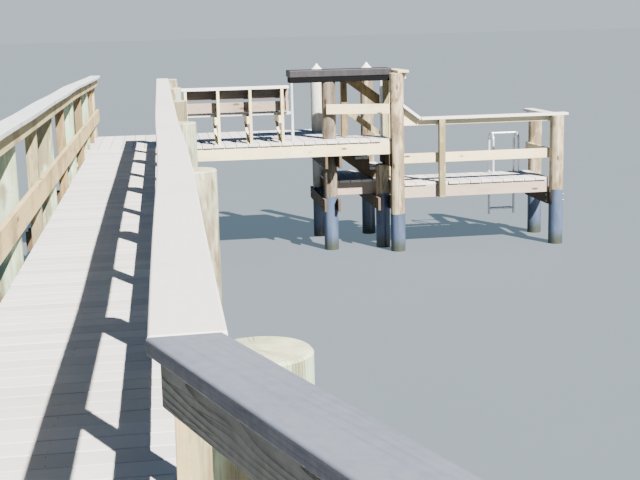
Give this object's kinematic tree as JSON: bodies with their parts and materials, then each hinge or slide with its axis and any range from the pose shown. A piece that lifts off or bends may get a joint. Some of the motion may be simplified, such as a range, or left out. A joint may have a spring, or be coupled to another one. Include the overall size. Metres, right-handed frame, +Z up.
{
  "type": "elevated boardwalk",
  "caption": "Raised timber boardwalk on round piles, with a bend, railings, a platform with a bench and a counter, and a stair to a lower landing with a ladder.",
  "frame": {"origin": "centre of the foot of the right-hand pile at the bend, on the ground", "axes": "+Y along the walkway from the bend to the platform, +X to its right, +Z up"},
  "size_m": [7.2739, 19.2448, 2.73],
  "materials": {
    "deck_board": "weathered, matt",
    "rail_cap": "weathered, matt",
    "sawn_timber": "rough sawn",
    "fascia_timber": "sawn",
    "round_pile": "peeled round timber",
    "bench_timber": "sawn",
    "counter_sheet": "matt",
    "ladder_metal": "satin",
    "pile_sleeve": "matt",
    "pile_hat": "smooth"
  },
  "bodies": {
    "root": {"approach_caps": "rail_cap", "approach_deck": "deck_board", "approach_piles": "round_pile", "approach_rails": "sawn_timber", "bench_back": "bench_timber", "bench_cap": "bench_timber", "bench_frames": "bench_timber", "bench_seat": "bench_timber", "counter_apron": "counter_sheet", "counter_poles": "ladder_metal", "counter_top": "counter_sheet", "ladder_rails": "ladder_metal", "ladder_steps": "ladder_metal", "lower_beams": "sawn_timber", "lower_deck": "deck_board", "lower_joists": "sawn_timber", "lower_piles": "round_pile", "lower_rail_cap": "rail_cap", "lower_rails": "sawn_timber", "lower_rims": "fascia_timber", "mid_rail_left": "sawn_timber", "mid_rail_right": "sawn_timber", "pile_cones": "pile_hat", "pile_sleeves": "pile_sleeve", "platform_beams": "sawn_timber", "platform_deck": "deck_board", "platform_guards": "sawn_timber", "platform_joists": "sawn_timber", "platform_piles": "round_pile", "platform_rims": "fascia_timber", "rail_cap_left": "rail_cap", "rail_cap_right": "rail_cap", "rail_posts_left": "sawn_timber", "rail_posts_right": "sawn_timber", "stair_handrail": "sawn_timber", "stair_stringers": "sawn_timber", "stair_treads": "deck_board", "tall_piles": "round_pile", "top_rail_left": "sawn_timber", "top_rail_right": "sawn_timber", "walkway_cross_beams": "sawn_timber", "walkway_deck": "deck_board", "walkway_piles_left": "round_pile", "walkway_piles_right": "round_pile", "walkway_stringers": "sawn_timber"}
  },
  "joints": []
}
